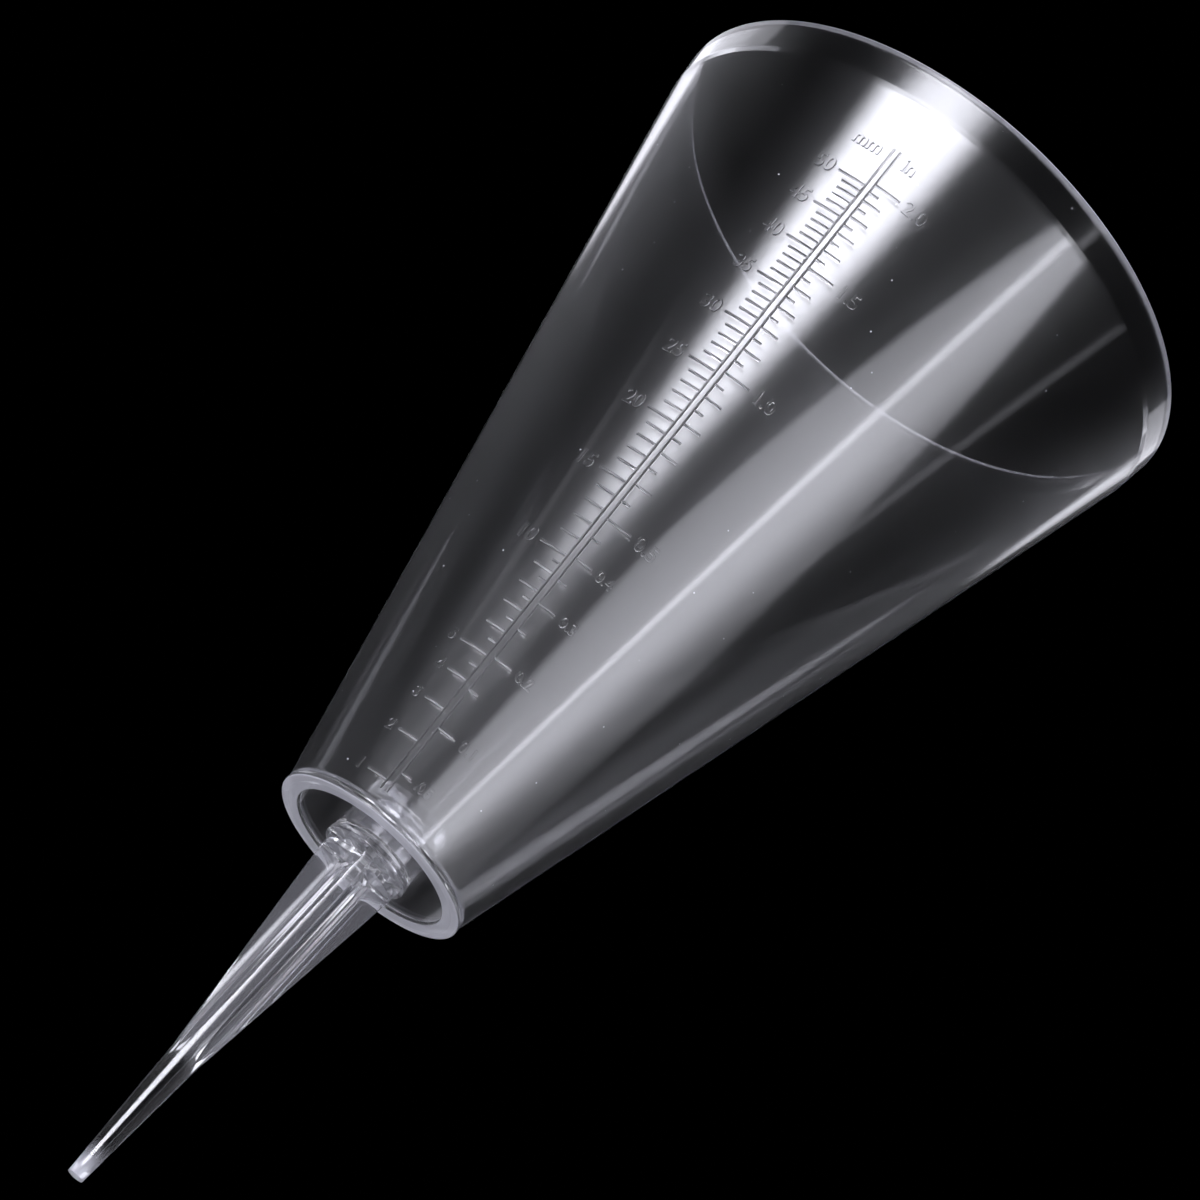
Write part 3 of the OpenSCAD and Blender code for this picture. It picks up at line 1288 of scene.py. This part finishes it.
@dataclass
class Spike:
    """The ground spike with its four fins, its flange and its spigot, in millimetres."""

    length: float
    tip_radius: float = 1.4
    knee_depth: float = 43.7
    knee_radius: float = 2.65
    shoulder_radius: float = 7.2
    flange_radius: float = 7.85
    flange: float = 1.0
    fin: float = 1.7
    pocket: float = 1.5
    collar: float = 1.0
    turn: float = 15.0
    spigot: float = 8.0
    spigot_radius: float = 4.95
    spigot_edge: float = 0.6
    seat_gap: float = 0.1
    round_steps: int = 6
    groove_steps: int = 12
    ring_gap: float = 2.2
    edge_width: float = 0.16
    edge_steps: int = 2
    sharp_degrees: float = 32.0
    fin_degrees: float = 41.0
    trial_steps: int = 4000
    groove_trials: int = 400
    weld: float = 0.004
    sliver: float = 0.001

    @property
    def groove_radius(self) -> float:
        """Radius of a groove's root, so that the grooves run out at the knee."""
        return (self.knee_radius - self.fin / math.sqrt(2)) / (math.sqrt(2) - 1)

    def groove_reach(self, angle: np.ndarray) -> np.ndarray:
        """Distance from the axis to the groove's surface.

        Args:
            angle: Angles from a fin's middle, in radians, up to 45 degrees.

        Returns:
            The distance at each angle.
        """
        half = self.fin / 2
        root = self.groove_radius
        centre = half + root
        along = centre * (np.cos(angle) + np.sin(angle))
        inside = along ** 2 - 2 * centre ** 2 + root ** 2
        circle = along - np.sqrt(np.maximum(inside, 0))
        flat = half / np.maximum(np.sin(angle), 1e-6)
        return np.where(flat * np.cos(angle) > centre, flat, circle)

    def angles(self, radius: float) -> np.ndarray:
        """Spreads the points of an eighth of a section: over the fin's end, then the groove.

        Args:
            radius: The body's radius there.

        Returns:
            The angles from the fin's middle, in radians.
        """
        trial = np.linspace(1e-4, math.pi / 4, self.trial_steps)
        reach = self.groove_reach(trial)
        cut = trial[np.argmax(reach < radius)] if (reach < radius).any() else math.pi / 4
        cut = min(cut, math.radians(self.fin_degrees))
        groove = np.linspace(cut, math.pi / 4, self.groove_trials)
        place = np.minimum(self.groove_reach(groove), radius)
        steps = np.hypot(np.diff(place * np.cos(groove)), np.diff(place * np.sin(groove)))
        run = np.concatenate([[0], np.cumsum(steps)])
        spread = np.interp(np.linspace(0, run[-1], self.groove_steps + 1), run, groove)
        return np.concatenate([np.linspace(0, cut, self.round_steps + 1)[:-1], spread])

    def ring(self, z: float, radius: float, grooved: bool, guide: float) -> np.ndarray:
        """Makes one ring of the spike.

        Args:
            z: Its height.
            radius: The body's radius.
            grooved: Whether the grooves are cut here.
            guide: The radius whose points the ring's points line up with.

        Returns:
            The ring's points.
        """
        eighth = self.angles(guide)
        quarter = np.concatenate([eighth, math.pi / 2 - eighth[-2:0:-1]])
        folded = np.minimum(quarter, math.pi / 2 - quarter)
        reach = np.full(len(quarter), radius)
        if grooved:
            reach = np.minimum(reach, self.groove_reach(folded))
        whole = np.concatenate([quarter + k * math.pi / 2 for k in range(4)])
        whole = whole + math.radians(self.turn - 90)
        reach = np.tile(reach, 4)
        return np.stack([reach * np.cos(whole), reach * np.sin(whole), np.full(len(whole), z)], 1)

    def rings(self) -> list[np.ndarray]:
        """Lists the rings from the tip to the spigot's end.

        Returns:
            The rings' points.
        """
        flange_top = -self.seat_gap
        flange_low = flange_top - self.flange
        collar_top = flange_low - self.pocket
        collar_low = collar_top - self.collar

        def radius_at(z: float) -> float:
            """Radius of the tapered body at a height."""
            if z < -self.knee_depth:
                low, high = (-self.length, self.tip_radius), (-self.knee_depth, self.knee_radius)
            else:
                low, high = (-self.knee_depth, self.knee_radius), (flange_low, self.shoulder_radius)
            share = (z - low[0]) / (high[0] - low[0])
            return low[1] + share * (high[1] - low[1])

        def stretch(low: float, high: float, grooved: bool) -> list[np.ndarray]:
            """Rings from one height to another."""
            count = max(1, round((high - low) / self.ring_gap))
            return [self.ring(z, radius_at(z), grooved, radius_at(z))
                    for z in np.linspace(low, high, count + 1)]

        shoulder = self.shoulder_radius
        inner = self.spigot_radius
        rows = stretch(-self.length, -self.knee_depth, True)
        rows += stretch(-self.knee_depth, collar_low, True)[1:]
        rows += stretch(collar_low, collar_top, False)
        rows += stretch(collar_top, flange_low, True)
        for z, radius in ((flange_low, shoulder), (flange_low, self.flange_radius),
                          (flange_top, self.flange_radius), (flange_top, inner),
                          (flange_top + self.spigot - self.spigot_edge, inner),
                          (flange_top + self.spigot, inner - self.spigot_edge)):
            rows.append(self.ring(z, radius, False, shoulder))
        return rows

    def build(self) -> bpy.types.Object:
        """Builds the spike and hands it to its body.

        Returns:
            The finished piece.
        """
        rings = self.rings()
        count = len(rings[0])
        shape = bmesh.new()
        rows = [[shape.verts.new(Vector(p) * MM) for p in ring.tolist()] for ring in rings]
        for low, high in zip(rows[:-1], rows[1:]):
            for j in range(count):
                k = (j + 1) % count
                shape.faces.new((low[j], low[k], high[k], high[j]))
        for row, way in ((rows[0], -1), (rows[-1], 1)):
            pole = shape.verts.new((0, 0, row[0].co.z))
            for j in range(count):
                k = (j + 1) % count
                shape.faces.new((row[j], row[k], pole) if way > 0 else (row[k], row[j], pole))
        bmesh.ops.remove_doubles(shape, verts=shape.verts, dist=self.weld * MM)
        bmesh.ops.dissolve_degenerate(shape, edges=shape.edges, dist=self.sliver * MM)
        bmesh.ops.recalc_face_normals(shape, faces=shape.faces)
        mesh = bpy.data.meshes.new("spike_body")
        shape.to_mesh(mesh)
        shape.free()
        mesh.shade_smooth()
        holder = linked("spike_body", mesh)
        bevel = holder.modifiers.new("edges", "BEVEL")
        bevel.width = self.edge_width * MM
        bevel.segments = self.edge_steps
        bevel.limit_method = "ANGLE"
        bevel.angle_limit = math.radians(self.sharp_degrees)
        weighted = holder.modifiers.new("normals", "WEIGHTED_NORMAL")
        weighted.keep_sharp = True
        final = settled(holder)
        finish = SpikePlastic("clear_polystyrene_spike", point=-self.length)
        final.materials.append(finish.material())
        piece = linked("clear_spike", final)
        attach(piece, "spike")
        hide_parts("ground_spike")
        return piece


def set_light_paths() -> None:
    """Lets light through many layers of clear plastic, with colours shown as they are."""
    scene = bpy.context.scene
    scene.cycles.max_bounces = 24
    scene.cycles.transmission_bounces = 24
    scene.cycles.glossy_bounces = 12
    scene.view_settings.view_transform = "Standard"


def main(cad_box: tuple[Any, Any]) -> None:
    """Builds the studio and the rain gauge.

    Args:
        cad_box: The whole object's lowest and highest corner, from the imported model.
    """
    set_light_paths()
    Viewpoint().place()
    studio = Studio()
    studio.build_floor()
    studio.build_sky()
    cup_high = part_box("cup")[1]
    cup = Cup(rim_radius=cup_high[0] / MM, height=cup_high[2] / MM)
    LOG.info("built %s", cup.build().name)
    spike = Spike(length=-cad_box[0][2] / MM)
    LOG.info("built %s", spike.build().name)


if __name__ == "__main__":
    logging.basicConfig(level=logging.INFO, format="%(name)s: %(message)s")
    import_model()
    cad_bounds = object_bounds()
    main(cad_bounds)
